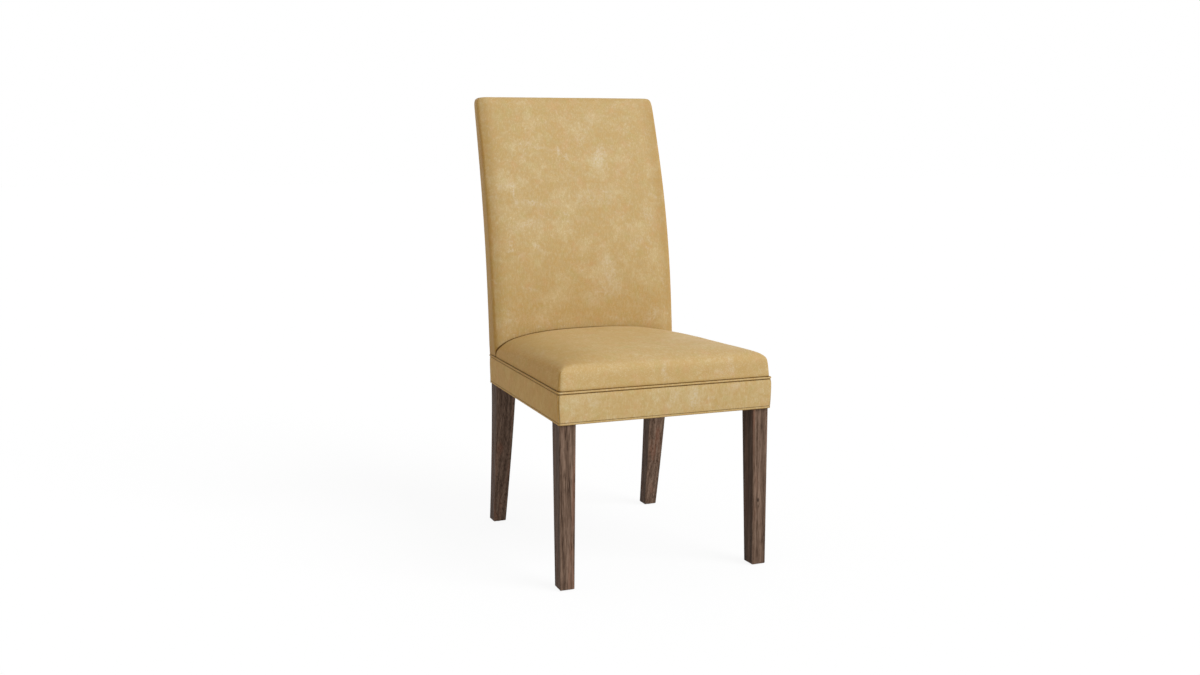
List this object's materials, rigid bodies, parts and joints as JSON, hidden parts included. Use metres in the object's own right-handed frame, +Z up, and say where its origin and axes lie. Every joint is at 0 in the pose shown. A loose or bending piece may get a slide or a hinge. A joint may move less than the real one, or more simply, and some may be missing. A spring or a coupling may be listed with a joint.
{
  "type": "upholstered dining chair",
  "caption": "Dining side chair with a leather-covered seat cushion, piped border and high curved back, on stained wooden legs; the rear legs sweep back and run up inside the back as posts.",
  "frame": {"origin": "on the floor, under the middle of the chair's overall width and depth", "axes": "+X across the chair, to the right as seen from the front; +Y from the front of the seat to the back; +Z up"},
  "size_m": [0.493, 0.6443, 1.03],
  "materials": {
    "tan_leather": "worn tan, mottled, low sheen",
    "stained_wood": "dark brown stain, satin",
    "plain_wood": "planed, unfinished",
    "webbing": "woven jute",
    "foam": "open-cell foam",
    "wadding": "soft fibre wadding",
    "card_liner": "stiff pressed board",
    "black_cloth": "thin black lining cloth",
    "screw_steel": "plain",
    "glide_plastic": "moulded"
  },
  "bodies": {
    "root": {"back_foam": "foam", "back_liner": "card_liner", "back_lower_rail": "plain_wood", "back_top_rail": "plain_wood", "back_web_1": "webbing", "back_web_2": "webbing", "back_web_3": "webbing", "base_cloth": "webbing", "border_band": "tan_leather", "border_wadding": "wadding", "dust_cover": "black_cloth", "front_block_left": "plain_wood", "front_block_left_screw_cross": "screw_steel", "front_block_left_screw_side": "screw_steel", "front_block_right": "plain_wood", "front_block_right_screw_cross": "screw_steel", "front_block_right_screw_side": "screw_steel", "front_glide_left": "glide_plastic", "front_glide_right": "glide_plastic", "front_leg_left": "stained_wood", "front_leg_right": "stained_wood", "front_seat_rail": "plain_wood", "inside_back_cover": "tan_leather", "left_seat_rail": "plain_wood", "outside_back_panel": "tan_leather", "rear_block_left": "plain_wood", "rear_block_left_screw_cross": "screw_steel", "rear_block_left_screw_side": "screw_steel", "rear_block_right": "plain_wood", "rear_block_right_screw_cross": "screw_steel", "rear_block_right_screw_side": "screw_steel", "rear_glide_left": "glide_plastic", "rear_glide_right": "glide_plastic", "rear_post_left": "stained_wood", "rear_post_right": "stained_wood", "rear_seat_rail": "plain_wood", "right_seat_rail": "plain_wood", "seat_cover": "tan_leather", "seat_foam": "foam", "seat_web_cross_1": "webbing", "seat_web_cross_2": "webbing", "seat_web_cross_3": "webbing", "seat_web_long_1": "webbing", "seat_web_long_2": "webbing", "seat_web_long_3": "webbing", "seat_welt": "tan_leather", "top_foam_strip": "foam"}
  },
  "joints": []
}
